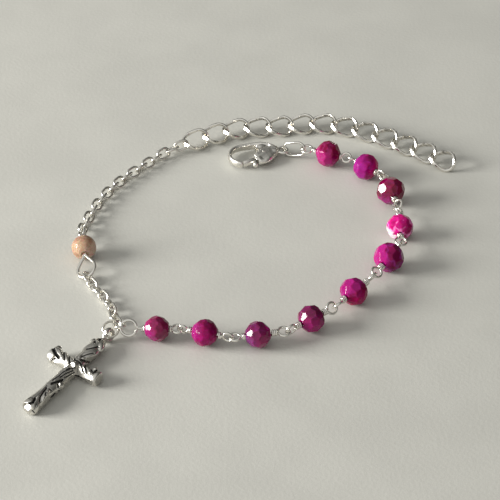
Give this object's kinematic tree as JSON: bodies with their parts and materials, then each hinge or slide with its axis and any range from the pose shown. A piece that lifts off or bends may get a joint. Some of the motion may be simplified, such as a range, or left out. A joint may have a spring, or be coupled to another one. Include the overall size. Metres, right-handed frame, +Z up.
{
  "type": "bracelet",
  "caption": "Open bracelet of faceted beads on wrapped eye pins, fine and extension chains, a lobster clasp with a sprung lever, and a twig cross on a jump ring, lying flat.",
  "frame": {"origin": "on the surface the bracelet lies on, under the middle of its box", "axes": "+X to the right and +Y away from the viewer as it lies, +Z up; the cross points to -X and -Y"},
  "size_m": [0.0754, 0.0827, 0.0055],
  "materials": {
    "magenta_stone": "polished facetted dyed stone, magenta to crimson with pale veins",
    "peach_stone": "polished speckled salmon stone",
    "pin_wire": "bright silver-coloured wire",
    "fine_chain_wire": "bright silver-coloured chain",
    "ring_wire": "darkened silver-coloured wire",
    "extension_wire": "bright flattened silver-coloured wire",
    "clasp_metal": "polished silver-coloured cast metal",
    "lever_metal": "polished silver-coloured metal",
    "cross_metal": "polished antiqued silver-coloured cast metal with black recesses"
  },
  "bodies": {
    "bracelet": {"bead_01": "magenta_stone", "bead_02": "magenta_stone", "bead_03": "magenta_stone", "bead_04": "magenta_stone", "bead_05": "magenta_stone", "bead_06": "magenta_stone", "bead_07": "magenta_stone", "bead_08": "magenta_stone", "bead_09": "magenta_stone", "bead_10": "magenta_stone", "eye_pin_01": "pin_wire", "eye_pin_02": "pin_wire", "eye_pin_03": "pin_wire", "eye_pin_04": "pin_wire", "eye_pin_05": "pin_wire", "eye_pin_06": "pin_wire", "eye_pin_07": "pin_wire", "eye_pin_08": "pin_wire", "eye_pin_09": "pin_wire", "eye_pin_10": "pin_wire", "peach_bead": "peach_stone", "pear_eye_pin": "pin_wire", "fine_chain_long": "fine_chain_wire", "fine_chain_short": "fine_chain_wire", "junction_link": "fine_chain_wire", "cross_jump_ring": "ring_wire", "cross": "cross_metal", "curb_link_01": "extension_wire", "curb_link_02": "extension_wire", "curb_link_03": "extension_wire", "curb_link_04": "extension_wire", "curb_link_05": "extension_wire", "curb_link_06": "extension_wire", "curb_link_07": "extension_wire", "curb_link_08": "extension_wire", "curb_link_09": "extension_wire", "curb_link_10": "extension_wire", "curb_link_11": "extension_wire", "curb_link_12": "extension_wire", "curb_link_13": "extension_wire", "clasp_link": "clasp_metal", "clasp_body": "clasp_metal", "clasp_pin": "clasp_metal"},
    "lever": {"clasp_lever": "lever_metal"}
  },
  "joints": [
    {"name": "lever_hinge", "type": "hinge", "parent": "bracelet", "child": "lever", "pos_m": [0.00192, 0.02961, 0.00119], "axis": [0, 0, -1], "range_deg": [0, 25], "stiffness_Nm_per_rad": 0.0002, "springref_deg": -20.05}
  ]
}
